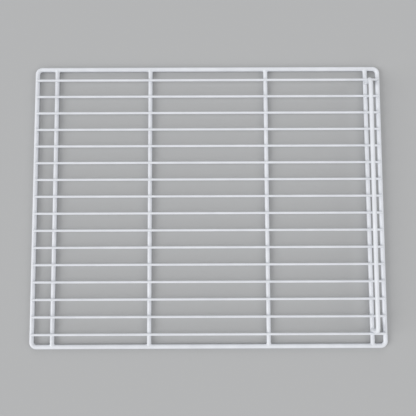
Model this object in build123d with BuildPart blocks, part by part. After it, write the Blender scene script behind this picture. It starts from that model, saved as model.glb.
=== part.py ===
from build123d import *
import os

# Refrigerator shelf of welded, coated steel wire, in millimetres over the coat.
# A heavy wire is bent into a rounded rectangle and braced from side to side by crossbars.
# Thin deck wires lie over them from front to rear, and a raised stop stands along the rear
# so that goods can't touch the cabinet's back wall.
# +X is to the right, +Y to the rear, +Z up. The origin is under the middle of the shelf,
# on the plane that the frame rests on.

# Outer frame
shelf_width = 419.0
shelf_depth = 521.0
frame_wire_d = 6.4
frame_bend_r = 7.0  # wire axis at the corners

# Crossbars, with the inset of each axis from the shelf's front or rear edge
crossbar_d = 6.2
front_bar_inset = 33.0  # from the front edge
front_middle_bar_inset = 174.0  # from the front edge
rear_middle_bar_inset = 173.0  # from the rear edge
rear_bar_inset = 22.0  # from the rear edge

# Deck wires
deck_wire_count = 16
deck_wire_d = 3.5
deck_side_gap = 18.0  # frame wire axis to the first deck wire's axis
deck_overhang = 0.2  # past the axis of the frame's front and rear wires

# Rear stop
stop_wire_d = 6.2
stop_rise = 25.5  # rear crossbar's axis to the rail's axis
stop_bend_r = 7.0  # wire axis at the two upper bends
stop_side_clearance = 0.4  # between each leg and the outermost deck wire

# Welds
deck_weld_flat = 0.4  # how far a deck wire is pressed flat on the wire below
butt_weld_sink = 1.2  # how far a square-cut end is pressed into the wire that carries it

# Places that follow from the sizes above
frame_axis_x = shelf_width / 2 - frame_wire_d / 2
frame_axis_y = shelf_depth / 2 - frame_wire_d / 2
frame_axis_z = frame_wire_d / 2
crossbar_z = frame_wire_d - crossbar_d / 2  # tops level with the frame's top
crossbar_end_x = shelf_width / 2 - frame_wire_d + butt_weld_sink
crossbar_places = {
    "front_crossbar": front_bar_inset - shelf_depth / 2,
    "front_middle_crossbar": front_middle_bar_inset - shelf_depth / 2,
    "rear_middle_crossbar": shelf_depth / 2 - rear_middle_bar_inset,
    "rear_crossbar": shelf_depth / 2 - rear_bar_inset,
}
deck_carriers = [(-frame_axis_y, frame_wire_d), (frame_axis_y, frame_wire_d)]
deck_carriers += [(bar_y, crossbar_d) for bar_y in crossbar_places.values()]
deck_edge_x = frame_axis_x - deck_side_gap
deck_pitch = 2 * deck_edge_x / (deck_wire_count - 1)
deck_z = frame_wire_d - deck_weld_flat + deck_wire_d / 2
deck_end_y = frame_axis_y + deck_overhang
stop_leg_x = deck_edge_x - deck_wire_d / 2 - stop_side_clearance - stop_wire_d / 2
stop_foot_z = frame_wire_d - butt_weld_sink
stop_rail_z = crossbar_z + stop_rise

os.makedirs("parts", exist_ok=True)


# Frame: one wire bent round a rounded rectangle and closed on itself
with BuildPart() as frame:
    with BuildSketch(Plane.XY.offset(frame_axis_z), mode=Mode.PRIVATE) as frame_route:
        RectangleRounded(2 * frame_axis_x, 2 * frame_axis_y, frame_bend_r)
    frame_path = frame_route.sketch.wire()
    with BuildSketch(Plane(origin=frame_path @ 0, z_dir=frame_path % 0)):
        Circle(frame_wire_d / 2)
    sweep(path=frame_path)
frame.part.label = "frame"
export_step(frame.part, "parts/frame.step")


# Crossbars: square-cut wires butt-welded between the frame's side wires
crossbars = {}
for name, bar_y in crossbar_places.items():
    with BuildPart() as crossbar:
        with BuildSketch(Plane.YZ.offset(-crossbar_end_x)):
            with Locations((bar_y, crossbar_z)):
                Circle(crossbar_d / 2)
        extrude(amount=2 * crossbar_end_x)
        add(frame.part, mode=Mode.SUBTRACT)
    crossbar.part.label = name
    export_step(crossbar.part, f"parts/{name}.step")
    crossbars[name] = crossbar.part


# Deck wires: thin wires, pressed flat where they are welded to each heavy wire that they cross
for number in range(1, deck_wire_count + 1):
    wire_x = -deck_edge_x + (number - 1) * deck_pitch
    with BuildPart() as deck_wire:
        with BuildSketch(Plane.XZ.offset(deck_end_y)):
            with Locations((wire_x, deck_z)):
                Circle(deck_wire_d / 2)
        extrude(amount=-2 * deck_end_y)
        for carrier_y, carrier_d in deck_carriers:
            with Locations((wire_x, carrier_y, frame_wire_d)):
                Box(
                    deck_wire_d,
                    carrier_d,
                    deck_wire_d,
                    align=(Align.CENTER, Align.CENTER, Align.MAX),
                    mode=Mode.SUBTRACT,
                )
    name = f"deck_wire_{number:02d}"
    deck_wire.part.label = name
    export_step(deck_wire.part, f"parts/{name}.step")


# Rear stop: a wire bent to an upturned U, its two feet butt-welded on the rear crossbar
with BuildPart() as rear_stop:
    with BuildLine(Plane.XZ.offset(-crossbar_places["rear_crossbar"])) as stop_route:
        FilletPolyline(
            (-stop_leg_x, stop_foot_z),
            (-stop_leg_x, stop_rail_z),
            (stop_leg_x, stop_rail_z),
            (stop_leg_x, stop_foot_z),
            radius=stop_bend_r,
        )
    with BuildSketch(Plane(origin=stop_route.line @ 0, z_dir=stop_route.line % 0)):
        Circle(stop_wire_d / 2)
    sweep(path=stop_route.line)
    add(crossbars["rear_crossbar"], mode=Mode.SUBTRACT)
rear_stop.part.label = "rear_stop"
export_step(rear_stop.part, "parts/rear_stop.step")
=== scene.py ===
# %% [markdown]
# # A coated wire refrigerator shelf
#
# The real shelf is a cage of steel wires, welded together and then dipped or sprayed white.
# One heavy wire is bent into the outer frame, four heavy crossbars brace it, thin deck wires lie
# over them from front to rear, and a raised stop along the rear keeps goods off the back wall.
# The imported model gives every wire its place and thickness, so it is loaded first, and the box of
# the dressed shelf is printed at the end.

# %% Load the frame
import math

import bmesh
import bpy
from mathutils import Matrix, Vector


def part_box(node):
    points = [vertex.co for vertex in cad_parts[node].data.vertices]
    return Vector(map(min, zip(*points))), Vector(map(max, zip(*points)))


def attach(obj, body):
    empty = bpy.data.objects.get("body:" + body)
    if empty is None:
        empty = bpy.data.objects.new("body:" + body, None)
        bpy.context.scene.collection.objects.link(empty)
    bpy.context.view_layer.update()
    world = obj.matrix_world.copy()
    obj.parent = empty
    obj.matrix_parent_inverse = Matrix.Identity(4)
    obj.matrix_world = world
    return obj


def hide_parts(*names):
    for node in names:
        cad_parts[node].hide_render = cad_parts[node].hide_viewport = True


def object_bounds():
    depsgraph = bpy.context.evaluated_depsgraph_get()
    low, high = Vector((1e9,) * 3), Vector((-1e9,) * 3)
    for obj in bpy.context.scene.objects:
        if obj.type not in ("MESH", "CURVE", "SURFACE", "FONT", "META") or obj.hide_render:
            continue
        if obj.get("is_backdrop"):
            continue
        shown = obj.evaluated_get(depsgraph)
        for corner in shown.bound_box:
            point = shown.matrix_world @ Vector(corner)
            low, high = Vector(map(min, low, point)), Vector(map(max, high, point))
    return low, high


MM = 0.001
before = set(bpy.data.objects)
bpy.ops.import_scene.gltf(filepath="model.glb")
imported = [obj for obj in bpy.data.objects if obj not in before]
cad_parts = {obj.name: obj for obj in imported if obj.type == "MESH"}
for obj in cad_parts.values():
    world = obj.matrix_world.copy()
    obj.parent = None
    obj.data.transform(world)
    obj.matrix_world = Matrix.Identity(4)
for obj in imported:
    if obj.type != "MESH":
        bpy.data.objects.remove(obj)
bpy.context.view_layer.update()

# %% [markdown]
# ## Wire sizes
#
# A straight round wire is fully known from its box: the thin sides give its diameter and its axis,
# and the long side gives its ends. Reading them here, instead of typing them again, keeps the
# looks on the model whenever its sizes change. The two bend radii can't be read from a box, so
# they are the only wire sizes that are written down.

# %% Measure the wires
FRAME_BEND = 7 * MM
STOP_BEND = 7 * MM
CROSSBARS = ["front_crossbar", "front_middle_crossbar", "rear_middle_crossbar", "rear_crossbar"]
DECK_WIRES = sorted(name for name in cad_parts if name.startswith("deck_wire"))

frame_low, frame_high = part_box("frame")
frame_r = (frame_high.z - frame_low.z) / 2
frame_axis = frame_high - Vector((frame_r, frame_r, frame_r))

bar_low, bar_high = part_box(CROSSBARS[0])
bar_r = (bar_high.y - bar_low.y) / 2
bar_z = bar_high.z - bar_r
bar_places = [sum(corner.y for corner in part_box(name)) / 2 for name in CROSSBARS]

deck_low, deck_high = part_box(DECK_WIRES[0])
deck_r = (deck_high.x - deck_low.x) / 2
deck_z = deck_high.z - deck_r

stop_low, stop_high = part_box("rear_stop")
stop_r = (stop_high.y - stop_low.y) / 2
stop_leg_x = stop_high.x - stop_r
stop_rail_z = stop_high.z - stop_r
print("wire diameters in mm:", [round(2 * r / MM, 2) for r in (frame_r, bar_r, deck_r, stop_r)])

# %% [markdown]
# ## A skin over rings
#
# A wire mill pulls steel through a round hole, so a wire's skin is a row of rings along its axis.
# Here a flat grid is rolled up through such rings: each row of the grid becomes one ring, and the
# seam where its first and last columns meet is merged. A curve with a bevel would be shorter to
# write, but here the ends can be rounded as the coat rounds them, and rings that aren't round can
# be drawn by the same few lines. Every point keeps its number in the ring for later use.

# %% Roll a grid into a skin
RING_NUMBER = "ring_number"
COAT_POOL = "coat_pool"
SEAM = 0.001 * MM


def new_skin():
    """An empty skin whose points keep their number in a ring and their share of pooled coat."""
    bm = bmesh.new()
    bm.verts.layers.int.new(RING_NUMBER)
    bm.verts.layers.float.new(COAT_POOL)
    return bm


def draw_rings(bm, rings, closed=False):
    """Rolls a grid up through rings of points. A closed skin runs back into its first ring."""
    number = bm.verts.layers.int[RING_NUMBER]
    rows = rings + rings[:1] if closed else rings
    sides = len(rings[0])
    grid = bmesh.ops.create_grid(bm, x_segments=sides, y_segments=len(rows) - 1, size=1)["verts"]
    for index, vert in enumerate(grid):
        row, column = divmod(index, sides + 1)
        vert[number] = column % sides
        vert.co = rows[row][column % sides]
    bmesh.ops.remove_doubles(bm, verts=grid, dist=SEAM)
    open_edges = [edge for edge in bm.edges if edge.is_boundary]
    bmesh.ops.holes_fill(bm, edges=open_edges, sides=sides)
    return [vert for vert in grid if vert.is_valid]


print("values kept by each point:", RING_NUMBER, "and", COAT_POOL)

# %% [markdown]
# ## The rings of a wire
#
# A round wire needs one kind of ring only: a circle, square to the way that the wire runs. At a
# cut end the coat has rounded the sharp edge, so the last few rings shrink along a quarter circle.
# Smooth shading blends the slopes of two neighbouring stretches, and on a long straight wire that
# blend would show as a false bulge from end to end. So one more ring, half a millimetre further on,
# holds the straight part straight. The flats between the points of a ring lie a little inside the
# true circle. They are too fine to be seen, but their depth matters for the welds further down.

# %% Shape the rings of a wire
WIRE_SIDES = 48
END_STEPS = 6
HOLD_GAP = 0.5 * MM
QUARTER = math.radians(90)
ALONG_X = Vector((1, 0, 0))
ALONG_Y = Vector((0, 1, 0))
UP = Vector((0, 0, 1))


def turn_about(side, other, angle):
    """The direction at an angle from one direction towards another that is square to it."""
    return math.cos(angle) * side + math.sin(angle) * other


def wire_ring(point, heading, side, radius):
    """A round ring about a point of the wire's axis, square to the wire's heading."""
    other = heading.cross(side)
    angles = (math.tau * number / WIRE_SIDES for number in range(WIRE_SIDES))
    return [point + radius * turn_about(side, other, angle) for angle in angles]


def rounded_end(radius, edge):
    """(distance from the end, ring radius) of a cut wire end whose edge the coat has rounded."""
    for step in range(END_STEPS + 1):
        angle = QUARTER * step / END_STEPS
        yield edge * (1 - math.cos(angle)), radius - edge * (1 - math.sin(angle))
    yield edge + HOLD_GAP, radius


flat_depth = frame_r * (1 - math.cos(math.pi / WIRE_SIDES))
print("depth of the flats on the frame wire in mm:", round(flat_depth / MM, 4))

# %% [markdown]
# ## Coat that pools at the welds
#
# Where two wires meet, the liquid coat is drawn into the corner and sets as a small fillet. A bevel
# can't make it, because the wires are separate pieces, and one mesh of the whole shelf would be
# hard to change. But a fillet is just what a small ball leaves free as it rolls along the corner.
# So the ball is set down at a few dozen places around the weld, and at each of them an arc is
# drawn between the two points that it touches. One more point, deep inside both wires, closes
# each arc to a ring. The rims are sunk by about a hundredth of a millimetre, deeper than the flats
# of the wires, so that no gap can show. Where the ball touches both wires is found by halving.

# %% Roll a ball around a weld
POOL_STATIONS = 48
POOL_STEPS = 8
RIM_SINK = 0.012 * MM
HEART_R = 0.2 * MM
SEARCH_REACH = 12 * MM
HALVINGS = 30


def ball_at(heart, way, distance, reach):
    """A ball's centre, so far from the weld's heart, on a carrier along X through the origin."""
    centre = heart + distance * way
    centre.z = math.sqrt(max(reach ** 2 - centre.y ** 2, 0))
    return centre


def pool_rings(heart, carrier_r, core, cover, ball):
    """The rings of pooled coat between a carrier and a wire, given as a core under a cover."""
    reach = carrier_r - RIM_SINK + ball
    touch = cover - RIM_SINK + ball
    for station in range(POOL_STATIONS):
        way = turn_about(ALONG_X, ALONG_Y, math.tau * (station + 0.5) / POOL_STATIONS)
        near, far = 0, SEARCH_REACH
        for _ in range(HALVINGS):
            middle = (near + far) / 2
            centre = ball_at(heart, way, middle, reach)
            if (centre - core(centre)).length < touch:
                near = middle
            else:
                far = middle
        centre = ball_at(heart, way, far, reach)
        to_wire = (core(centre) - centre).normalized()
        to_carrier = (Vector((centre.x, 0, 0)) - centre).normalized()
        shares = (step / POOL_STEPS for step in range(POOL_STEPS + 1))
        arc = [centre + ball * to_wire.lerp(to_carrier, share).normalized() for share in shares]
        yield arc + [heart + HEART_R * way]


print("arcs around a weld:", POOL_STATIONS, "points on each:", POOL_STEPS + 1)

# %% [markdown]
# ## Drawing the pooled coat
#
# The same grid is rolled through those rings once around the weld, and moved to its place on the
# shelf. Its rims are marked as sharp, because smooth shading across them would bend the light on
# the fillet. The share of pooled coat is kept at each point, greatest at the middle of an arc,
# because thick coat is a little glossier.

# %% Draw the pooled coat
def pool_coat(bm, placed, heart, carrier_r, core, cover, ball):
    """Draws the pooled coat of one weld, and marks its rims as edges that aren't smoothed over."""
    number = bm.verts.layers.int[RING_NUMBER]
    pool = bm.verts.layers.float[COAT_POOL]
    rings = [[placed @ point for point in ring]
             for ring in pool_rings(heart, carrier_r, core, cover, ball)]
    for vert in draw_rings(bm, rings, closed=True):
        vert[pool] = math.sin(math.pi * min(vert[number] / POOL_STEPS, 1))
        for edge in vert.link_edges:
            if vert[number] in (0, POOL_STEPS) and edge.other_vert(vert)[number] == vert[number]:
                edge.smooth = False


print("rims lie below the skin in mm:", round(RIM_SINK / MM, 3))

# %% [markdown]
# ## A finished piece
#
# Every wire ends up as one object at the origin, smooth-shaded, riding on the shelf's only body
# and standing for its own model node. The coat is one finish over the whole shelf, so all pieces
# share one material, which is mixed further down.

# %% Turn a skin into a piece
BODY = "root"
coat = bpy.data.materials.new("satin_white_coat")


def skin_mesh(bm, name):
    """The mesh of a finished skin, with its faces outwards and smooth."""
    bmesh.ops.recalc_face_normals(bm, faces=bm.faces)
    for face in bm.faces:
        face.smooth = True
    bm.verts.layers.int.remove(bm.verts.layers.int[RING_NUMBER])
    mesh = bpy.data.meshes.new(name)
    bm.to_mesh(mesh)
    bm.free()
    mesh.materials.append(coat)
    return mesh


def coated_piece(mesh, node):
    """The object of a wire's mesh, which stands for the wire's node."""
    piece = bpy.data.objects.new(f"coated_{node}", mesh)
    bpy.context.scene.collection.objects.link(piece)
    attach(piece, BODY)
    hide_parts(node)
    return piece


print("finish shared by all wires:", coat.name)

# %% [markdown]
# ## The outer frame
#
# The frame is a single wire bent at four corners and closed on itself. A bender turns a wire about
# a round former, so each corner is a quarter turn of rings, with a holding ring on the straight
# before and after it. The straight sides need no other rings between two corners. All four bends
# turn to the left, so the way that the wire runs into a corner also says which corner it is.

# %% Bend the frame
BEND_STEPS = 16


def quarter_bend(corner, heading, towards, bend):
    """(point, heading) along a quarter bend about a corner, with a holding ring at both ends."""
    start = corner - bend * heading
    yield start - HOLD_GAP * heading, heading
    for step in range(BEND_STEPS + 1):
        angle = QUARTER * step / BEND_STEPS
        swing = towards - turn_about(towards, -heading, angle)
        yield start + bend * swing, turn_about(heading, towards, angle)
    yield corner + (bend + HOLD_GAP) * towards, towards


frame_rings = []
for heading in (ALONG_Y, -ALONG_X, -ALONG_Y, ALONG_X):
    towards = UP.cross(heading)
    corner = (heading - towards + UP) * frame_axis
    for point, way in quarter_bend(corner, heading, towards, FRAME_BEND):
        frame_rings.append(wire_ring(point, way, UP, frame_r))
frame_skin = new_skin()
draw_rings(frame_skin, frame_rings, closed=True)
frame_piece = coated_piece(skin_mesh(frame_skin, "coated_frame"), "frame")
print("frame faces:", len(frame_piece.data.polygons))

# %% [markdown]
# ## The crossbars
#
# Each crossbar is cut square, set between the frame's side wires and butt-welded. The mesh goes on
# inside the frame wire almost to its axis, so that no seam can open at the joint, and a ball
# rolled around each end gives the weld its flare. A ball needs its carrier along X, so each weld
# is worked out that way round and then turned: the frame's side wire becomes the carrier, and
# the crossbar stands on it.

# %% Weld in the crossbars
BUTT_POOL = 1.5 * MM
BUTT_INSET = 0.4 * MM
BUTT_EDGE = 0.8 * MM


def butt_heart(carrier_r):
    """A point inside a butt weld, on the axis of the wire that stands on the carrier."""
    return Vector((0, 0, carrier_r / 2))


bar_end = frame_axis.x - BUTT_INSET
right_end = [(bar_end - inset, radius) for inset, radius in rounded_end(bar_r, BUTT_EDGE)]
bar_stations = sorted(right_end + [(-x, radius) for x, radius in right_end])
for node, bar_y in zip(CROSSBARS, bar_places):
    bar_skin = new_skin()
    draw_rings(bar_skin, [wire_ring(Vector((x, bar_y, bar_z)), ALONG_X, UP, radius)
                          for x, radius in bar_stations])
    for side in (-1, 1):
        turned = Matrix((ALONG_Y, -side * UP, -side * ALONG_X)).transposed().to_4x4()
        placed = Matrix.Translation((side * frame_axis.x, bar_y, frame_axis.z)) @ turned
        off_axis = Vector((0, -side * (bar_z - frame_axis.z), 0))
        pool_coat(bar_skin, placed, butt_heart(frame_r) + off_axis, frame_r,
                  lambda point: Vector((0, off_axis.y, point.z)), bar_r, BUTT_POOL)
    bar_piece = coated_piece(skin_mesh(bar_skin, f"coated_{node}"), node)
print("crossbars:", len(CROSSBARS), "faces of each:", len(bar_piece.data.polygons))

# %% [markdown]
# ## One deck wire
#
# The thin wires lie on the frame and the crossbars, where a spot weld presses each one slightly
# flat. Their cut ends stop just past the middle of the frame wire and are rounded by the coat. To
# the ball, such a wire is a thinner and shorter core under an even cover, which rounds its ends
# by itself. The wires are all alike, so one is drawn at the middle of the shelf as a pattern.

# %% Draw one deck wire
DECK_POOL = 0.8 * MM
DECK_EDGE = 0.9 * MM
END_HEART_INSET = 0.9 * MM
deck_carriers = [(y, bar_z, bar_r) for y in bar_places]
deck_carriers += [(y, frame_axis.z, frame_r) for y in (-frame_axis.y, frame_axis.y)]


def deck_core(point):
    """The nearest point of a deck wire's core, for a wire at the middle of the shelf."""
    along = min(max(point.y, deck_low.y + DECK_EDGE), deck_high.y - DECK_EDGE)
    across = Vector((point.x, 0, point.z - deck_z))
    if across.length > deck_r - DECK_EDGE:
        across *= (deck_r - DECK_EDGE) / across.length
    return Vector((0, along, deck_z)) + across


deck_stations = []
for inset, radius in rounded_end(deck_r, DECK_EDGE):
    deck_stations += [(deck_low.y + inset, radius), (deck_high.y - inset, radius)]
deck_skin = new_skin()
draw_rings(deck_skin, [wire_ring(Vector((0, y, deck_z)), ALONG_Y, UP, radius)
                       for y, radius in sorted(deck_stations)])
for weld_y, carrier_z, carrier_r in deck_carriers:
    on_carrier = Vector((0, weld_y, carrier_z))
    heart_y = min(max(0, deck_low.y + END_HEART_INSET - weld_y), deck_high.y - END_HEART_INSET - weld_y)
    seat = (deck_z - deck_r + carrier_z + carrier_r) / 2 - carrier_z
    pool_coat(deck_skin, Matrix.Translation(on_carrier), Vector((0, heart_y, seat)), carrier_r,
              lambda point: deck_core(point + on_carrier) - on_carrier, DECK_EDGE, DECK_POOL)
deck_mesh = skin_mesh(deck_skin, "deck_wire_pattern")
print("faces of a deck wire:", len(deck_mesh.polygons))

# %% [markdown]
# ## The deck
#
# A jig holds the real wires side by side while they are welded. Here a copy of the pattern is moved
# to each wire's place. The move is made in the mesh and not in the object, so that every object
# stays at the origin and the coat's texture differs from wire to wire.

# %% Lay the deck wires
for node in DECK_WIRES:
    low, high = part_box(node)
    mesh = deck_mesh.copy()
    mesh.name = f"coated_{node}"
    mesh.transform(Matrix.Translation(((low.x + high.x) / 2, 0, 0)))
    coated_piece(mesh, node)
bpy.data.meshes.remove(deck_mesh)
print("deck wires:", len(DECK_WIRES))

# %% [markdown]
# ## The rear stop
#
# The stop is one more bent wire: a leg up from the rear crossbar, a bend, the long rail, and the
# same again down. It is drawn in one go along that path, and then each foot gets its own flare of
# pooled coat on the crossbar.

# %% Stand the stop on the rear crossbar
stop_y = bar_places[-1]
half_path = []
for rise, radius in rounded_end(stop_r, BUTT_EDGE):
    half_path.append((Vector((-stop_leg_x, stop_y, bar_z + BUTT_INSET + rise)), UP, radius))
rail_corner = Vector((-stop_leg_x, stop_y, stop_rail_z))
for point, heading in quarter_bend(rail_corner, UP, ALONG_X, STOP_BEND):
    half_path.append((point, heading, stop_r))

mirrored = Matrix.Diagonal((-1, 1, 1))
stop_path = list(half_path)
for point, heading, radius in reversed(half_path):
    stop_path.append((mirrored @ point, -(mirrored @ heading), radius))
stop_skin = new_skin()
draw_rings(stop_skin, [wire_ring(point, heading, ALONG_Y, radius) for point, heading, radius in stop_path])
for side in (-1, 1):
    placed = Matrix.Translation((side * stop_leg_x, stop_y, bar_z))
    pool_coat(stop_skin, placed, butt_heart(bar_r), bar_r,
              lambda point: Vector((0, 0, point.z)), stop_r, BUTT_POOL)
stop_piece = coated_piece(skin_mesh(stop_skin, "coated_rear_stop"), "rear_stop")
print("stop faces:", len(stop_piece.data.polygons))

# %% [markdown]
# ## The white coat
#
# The finish is a satin polymer, thick enough to hide the steel. Close up it isn't a flat white: it
# has a faint mottle where it is thinner, a cleaner gloss where it has pooled, and the shallow
# ripple that painters call orange peel. Each of these is a noise on Object coordinates at its real
# size, or the pool attribute, and all of them meet in one Principled shader. An image texture would
# need a seam on every wire, and a noise needs none.

# %% Prepare the coat
coat.use_nodes = True
nodes = coat.node_tree.nodes
links = coat.node_tree.links
shader = nodes["Principled BSDF"]
coordinates = nodes.new("ShaderNodeTexCoord")
pooled = nodes.new("ShaderNodeAttribute")
pooled.attribute_name = COAT_POOL


def noise(per_metre, detail):
    """A noise on Object coordinates, with so many cells to the metre."""
    texture = nodes.new("ShaderNodeTexNoise")
    texture.inputs["Scale"].default_value = per_metre
    texture.inputs["Detail"].default_value = detail
    links.new(coordinates.outputs["Object"], texture.inputs["Vector"])
    return texture.outputs["Fac"]


print("pooled coat is read from:", pooled.attribute_name)

# %% [markdown]
# ## Its whites
#
# A thin coat lets a trace of the grey steel through, and a full one doesn't. So the white runs
# between two close tones along a coarse noise, and pooled coat is always at the full end.

# %% Mottle the white
THIN_WHITE = (0.735, 0.756, 0.8, 1)
FULL_WHITE = (0.784, 0.805, 0.85, 1)
NOISE_LOW, NOISE_HIGH = 0.35, 0.65
MOTTLE_PER_METRE = 45
MOTTLE_DETAIL = 3

fullness = nodes.new("ShaderNodeMath")
fullness.operation = "ADD"
links.new(noise(MOTTLE_PER_METRE, MOTTLE_DETAIL), fullness.inputs[0])
links.new(pooled.outputs["Fac"], fullness.inputs[1])
whites = nodes.new("ShaderNodeValToRGB")
thin_mark, full_mark = whites.color_ramp.elements
thin_mark.position = NOISE_LOW
thin_mark.color = THIN_WHITE
full_mark.position = NOISE_HIGH
full_mark.color = FULL_WHITE
links.new(fullness.outputs[0], whites.inputs["Fac"])
links.new(whites.outputs["Color"], shader.inputs["Base Color"])
print("mottle size in mm:", round(1 / MOTTLE_PER_METRE / MM, 1))

# %% [markdown]
# ## Its gloss
#
# A satin coat is neither matt nor a mirror. Its fine grain shifts the roughness a little from place
# to place, and where the coat has pooled and levelled itself, the roughness drops.

# %% Set the gloss
SATIN_LOW, SATIN_HIGH = 0.34, 0.42
POOL_GLOSS = -0.1
GRAIN_PER_METRE = 3200
GRAIN_DETAIL = 2

satin = nodes.new("ShaderNodeMapRange")
satin.inputs["From Min"].default_value = NOISE_LOW
satin.inputs["From Max"].default_value = NOISE_HIGH
satin.inputs["To Min"].default_value = SATIN_LOW
satin.inputs["To Max"].default_value = SATIN_HIGH
links.new(noise(GRAIN_PER_METRE, GRAIN_DETAIL), satin.inputs["Value"])
gloss = nodes.new("ShaderNodeMath")
gloss.operation = "MULTIPLY_ADD"
gloss.inputs[1].default_value = POOL_GLOSS
links.new(pooled.outputs["Fac"], gloss.inputs[0])
links.new(satin.outputs["Result"], gloss.inputs[2])
links.new(gloss.outputs[0], shader.inputs["Roughness"])
print("grain size in mm:", round(1 / GRAIN_PER_METRE / MM, 2))

# %% [markdown]
# ## Its ripple
#
# Orange peel is far too shallow to change the outline of a wire, so it is a bump in the material
# and not in the mesh. It breaks the long highlights up a little, as on the real coat.

# %% Ripple the surface
PEEL_DEPTH = 0.22 * MM
PEEL_STRENGTH = 0.8
PEEL_PER_METRE = 650
PEEL_DETAIL = 1

peel = nodes.new("ShaderNodeBump")
peel.inputs["Strength"].default_value = PEEL_STRENGTH
peel.inputs["Distance"].default_value = PEEL_DEPTH
links.new(noise(PEEL_PER_METRE, PEEL_DETAIL), peel.inputs["Height"])
links.new(peel.outputs["Normal"], shader.inputs["Normal"])
print("ripple size in mm:", round(1 / PEEL_PER_METRE / MM, 2), "nodes in the coat:", len(nodes))

# %% [markdown]
# ## The floor
#
# A white shelf on a white floor would vanish, so the floor is a pale grey, and plain. It has no
# gloss, because a mirror image of the shelf would look like more wires.

# %% Lay the floor
FLOOR_GREY = (0.46, 0.465, 0.47, 1)
FLOOR_SPAN = 30

floor_skin = bmesh.new()
bmesh.ops.create_grid(floor_skin, x_segments=1, y_segments=1, size=FLOOR_SPAN / 2)
floor_mesh = bpy.data.meshes.new("floor")
floor_skin.to_mesh(floor_mesh)
floor_skin.free()
floor = bpy.data.objects.new("floor", floor_mesh)
bpy.context.scene.collection.objects.link(floor)
floor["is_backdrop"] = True
floor_paint = bpy.data.materials.new("pale_floor")
floor_paint.use_nodes = True
floor_shader = floor_paint.node_tree.nodes["Principled BSDF"]
floor_shader.inputs["Base Color"].default_value = FLOOR_GREY
floor_shader.inputs["Roughness"].default_value = 1
floor_shader.inputs["Specular IOR Level"].default_value = 0
floor_mesh.materials.append(floor_paint)
print("floor spans", FLOOR_SPAN, "m")

# %% [markdown]
# ## The lamps
#
# Light from straight above alone would leave the flanks of the wires dark and make them look
# thinner than they are, so four soft lamps stand around the shelf and reach the flanks. The one in
# front is the strongest, which leaves the side of each crossbar that faces the rear a little
# darker. Lamps close by would leave bright spots on the floor, so they are suns with a wide disc,
# as soft as a large softbox but even everywhere.

# %% Hang the lamps
LAMP_DISC = math.radians(37)


def soft_lamp(name, place, strength):
    """A wide, far lamp that shines from a place towards the shelf's middle."""
    lamp = bpy.data.lights.new(name, "SUN")
    lamp.angle = LAMP_DISC
    lamp.energy = strength
    holder = bpy.data.objects.new(name, lamp)
    holder.location = place
    holder.rotation_euler = (-Vector(place)).to_track_quat("-Z", "Y").to_euler()
    bpy.context.scene.collection.objects.link(holder)


soft_lamp("front_lamp", place=(0.28, -1.24, 0.75), strength=1.6)
soft_lamp("rear_lamp", place=(0, 1.3, 0.8), strength=0.72)
soft_lamp("left_lamp", place=(-1.3, 0, 0.8), strength=0.5)
soft_lamp("right_lamp", place=(1.3, 0, 0.8), strength=0.5)
print("lamps:", sorted(lamp.name for lamp in bpy.data.lights))

# %% [markdown]
# ## The sky
#
# An even white sky gives about half of the light, as a white room would. Together with the lamps
# its level is set so that a colour renders about as it is written. The sky that the camera or a
# reflection sees is another matter: it has the lit floor's own grey, so no horizon shows.

# %% Light the sky
SKY_WHITE = (1, 1, 1, 1)
SKY_LIGHT = 0.45
SKY_SHOWN = 1.0

world = bpy.data.worlds.new("studio")
bpy.context.scene.world = world
world.use_nodes = True
sky_nodes = world.node_tree.nodes
sky_links = world.node_tree.links
sky = sky_nodes["Background"]
ray = sky_nodes.new("ShaderNodeLightPath")


def either(first, second):
    """One for a ray of either kind, and zero for any other."""
    larger = sky_nodes.new("ShaderNodeMath")
    larger.operation = "MAXIMUM"
    sky_links.new(first, larger.inputs[0])
    sky_links.new(second, larger.inputs[1])
    return larger.outputs[0]


passed_on = either(ray.outputs["Is Glossy Ray"], ray.outputs["Is Transmission Ray"])
seen = either(ray.outputs["Is Camera Ray"], passed_on)
tint = sky_nodes.new("ShaderNodeMix")
tint.data_type = "RGBA"
tint.inputs["A"].default_value = SKY_WHITE
tint.inputs["B"].default_value = FLOOR_GREY
sky_links.new(seen, tint.inputs["Factor"])
sky_links.new(tint.outputs["Result"], sky.inputs["Color"])
level = sky_nodes.new("ShaderNodeMapRange")
level.inputs["To Min"].default_value = SKY_LIGHT
level.inputs["To Max"].default_value = SKY_SHOWN
sky_links.new(seen, level.inputs["Value"])
sky_links.new(level.outputs["Result"], sky.inputs["Strength"])
bpy.context.scene.view_settings.view_transform = "Standard"
print("sky gives light:", SKY_LIGHT, "and is seen at:", SKY_SHOWN)

# %% [markdown]
# ## The camera
#
# The photograph looks almost straight down, with the shelf's rear to the right and its right side
# towards the bottom edge. The camera's place and focal length come from fitting the wires of the
# model to the wires of the photograph.

# %% Place the camera
CAMERA_PLACE = Vector((0.0614, -0.0012, 0.7264))
CAMERA_AIM = Vector((0.0046, -0.00015, 0.0032))
CAMERA_ROLL = math.radians(0.217)
FOCAL_PIXELS = 488.3
PHOTO_PIXELS = 416
SENSOR = 36

lens = bpy.data.cameras.new("camera")
lens.sensor_width = SENSOR
lens.lens = FOCAL_PIXELS / PHOTO_PIXELS * SENSOR
camera = bpy.data.objects.new("camera", lens)
back = (CAMERA_PLACE - CAMERA_AIM).normalized()
picture_up = Vector((-math.cos(CAMERA_ROLL), math.sin(CAMERA_ROLL), 0))
right = picture_up.cross(back).normalized()
turn = Matrix((right, back.cross(right), back)).transposed()
camera.matrix_world = Matrix.Translation(CAMERA_PLACE) @ turn.to_4x4()
bpy.context.scene.collection.objects.link(camera)
bpy.context.scene.camera = camera
print("focal length in mm:", round(lens.lens, 2))

# %% Print the dressed box and finish
low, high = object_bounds()
print("dressed box in mm:", [round(size / MM, 1) for size in high - low])
